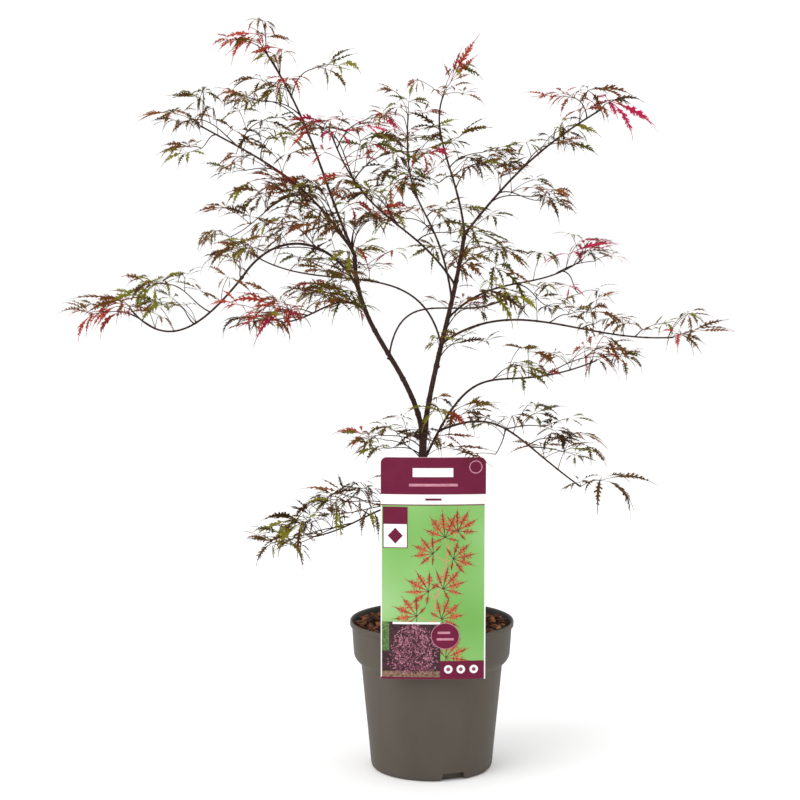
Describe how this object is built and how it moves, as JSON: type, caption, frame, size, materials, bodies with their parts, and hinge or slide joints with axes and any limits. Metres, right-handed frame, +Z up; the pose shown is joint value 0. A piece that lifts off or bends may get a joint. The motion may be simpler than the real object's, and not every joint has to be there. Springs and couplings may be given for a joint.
{
  "type": "potted laceleaf maple",
  "caption": "Young open-crowned laceleaf shrub on a forked stem, with finely cut red-green leaves, in a tapered nursery pot with a hanging card.",
  "frame": {"origin": "centre of the pot's flat underside, on the floor", "axes": "+Z up, -Y to the front where the card hangs, +X to the viewer's right"},
  "size_m": [0.7421, 0.49, 0.8513],
  "materials": {
    "pot_plastic": "moulded taupe-grey plastic with a soft sheen",
    "bark_mulch": "damp bark chips, dark brown with orange-brown chips",
    "card_print": "printed plastic card in plum, white and green",
    "bark": "smooth dark purplish-brown young bark",
    "leaf_olive": "matt leaf, olive green",
    "leaf_dark": "matt leaf, dark olive-brown",
    "leaf_bronze": "matt leaf, bronze",
    "leaf_red": "matt leaf, russet red",
    "leaf_crimson": "matt young leaf, crimson pink"
  },
  "bodies": {
    "root": {"pot": "pot_plastic", "soil": "bark_mulch", "plant_card": "card_print", "trunk": "bark", "stem_left": "bark", "stem_right": "bark", "bough_left_high": "bark", "bough_left_top": "bark", "bough_arch": "bark", "bough_arch_end": "bark", "bough_left_low": "bark", "bough_crossing": "bark", "bough_front": "bark", "bough_front_top": "bark", "bough_rear_top": "bark", "bough_centre_top": "bark", "bough_right_high": "bark", "bough_right_mid": "bark", "bough_right_arm": "bark", "bough_right_low": "bark", "bough_low_right": "bark", "bough_low_left": "bark", "leaves_left_top_tip": "leaf_red", "leaves_left_top_outer": "leaf_bronze", "leaves_left_top_inner": "leaf_olive", "leaves_left_high_tip": "leaf_olive", "leaves_left_high": "leaf_olive", "leaves_left_shoulder": "leaf_bronze", "leaves_arch_tip": "leaf_red", "leaves_arch_outer": "leaf_olive", "leaves_arch_middle": "leaf_dark", "leaves_arch_top": "leaf_bronze", "leaves_left_low_tip": "leaf_red", "leaves_left_low": "leaf_bronze", "leaves_crossing": "leaf_olive", "leaves_crossing_tip": "leaf_bronze", "leaves_front_top_tip": "leaf_crimson", "leaves_front_top": "leaf_olive", "leaves_rear_top_tip": "leaf_bronze", "leaves_rear_top": "leaf_dark", "leaves_centre_top_tip": "leaf_red", "leaves_centre_top": "leaf_olive", "leaves_right_high_tip": "leaf_red", "leaves_right_high": "leaf_olive", "leaves_right_high_low": "leaf_dark", "leaves_right_middle_tip": "leaf_crimson", "leaves_right_middle": "leaf_bronze", "leaves_right_shoulder": "leaf_olive", "leaves_right_arm_tip": "leaf_red", "leaves_right_arm": "leaf_bronze", "leaves_right_arm_inner": "leaf_olive", "leaves_right_low_tip": "leaf_bronze", "leaves_right_low": "leaf_olive", "leaves_low_right_tip": "leaf_dark", "leaves_low_right": "leaf_dark", "leaves_trunk_left": "leaf_olive", "leaves_low_left_tip": "leaf_dark", "leaves_low_left": "leaf_dark", "leaves_front_tip": "leaf_bronze", "leaves_centre": "leaf_bronze"}
  },
  "joints": []
}
